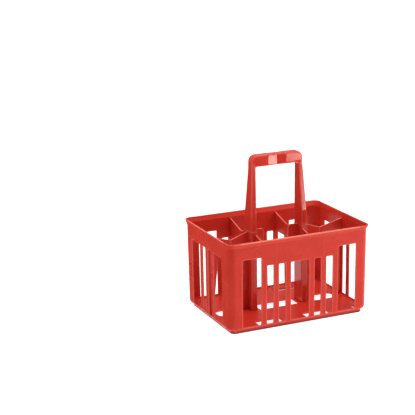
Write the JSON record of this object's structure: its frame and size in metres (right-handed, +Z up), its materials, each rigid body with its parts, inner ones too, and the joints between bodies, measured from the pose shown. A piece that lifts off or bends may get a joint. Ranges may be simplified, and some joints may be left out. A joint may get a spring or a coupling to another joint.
{
  "type": "bottle carrier crate",
  "caption": "Open-sided plastic bottle carrier with windowed walls, two rows of cells, a flared rim and a fixed central carrying handle.",
  "frame": {"origin": "centre of the foot's underside, on the surface the crate stands on", "axes": "+Z up, X along the long side, +Y towards the back"},
  "size_m": [0.31, 0.222, 0.325],
  "materials": {
    "red_plastic": "semi-gloss injection-moulded polypropylene with soft wear on the edges"
  },
  "bodies": {
    "root": {"front_sill": "red_plastic", "front_top_band": "red_plastic", "front_bar_1": "red_plastic", "front_bar_2": "red_plastic", "front_bar_3": "red_plastic", "front_bar_4": "red_plastic", "front_bar_5": "red_plastic", "front_bar_6": "red_plastic", "rim_front": "red_plastic", "right_sill": "red_plastic", "right_top_band": "red_plastic", "right_bar_1": "red_plastic", "right_bar_2": "red_plastic", "right_bar_3": "red_plastic", "rim_right": "red_plastic", "rear_sill": "red_plastic", "rear_top_band": "red_plastic", "rear_bar_1": "red_plastic", "rear_bar_2": "red_plastic", "rear_bar_3": "red_plastic", "rear_bar_4": "red_plastic", "rear_bar_5": "red_plastic", "rear_bar_6": "red_plastic", "rim_rear": "red_plastic", "left_sill": "red_plastic", "left_top_band": "red_plastic", "left_bar_1": "red_plastic", "left_bar_2": "red_plastic", "left_bar_3": "red_plastic", "rim_left": "red_plastic", "corner_post_front_right": "red_plastic", "corner_post_rear_right": "red_plastic", "corner_post_rear_left": "red_plastic", "corner_post_front_left": "red_plastic", "foot_ring": "red_plastic", "floor_front_panel": "red_plastic", "floor_rear_panel": "red_plastic", "floor_end_right": "red_plastic", "floor_end_left": "red_plastic", "floor_bridge_right": "red_plastic", "floor_bridge_left": "red_plastic", "row_divider_right": "red_plastic", "leg_web_right": "red_plastic", "end_wall_rib_right": "red_plastic", "leg_gusset_right": "red_plastic", "column_divider_front_right": "red_plastic", "column_divider_rear_right": "red_plastic", "row_divider_left": "red_plastic", "leg_web_left": "red_plastic", "end_wall_rib_left": "red_plastic", "leg_gusset_left": "red_plastic", "column_divider_front_left": "red_plastic", "column_divider_rear_left": "red_plastic", "handle_leg_right": "red_plastic", "handle_leg_left": "red_plastic", "handle_grip": "red_plastic"}
  },
  "joints": []
}
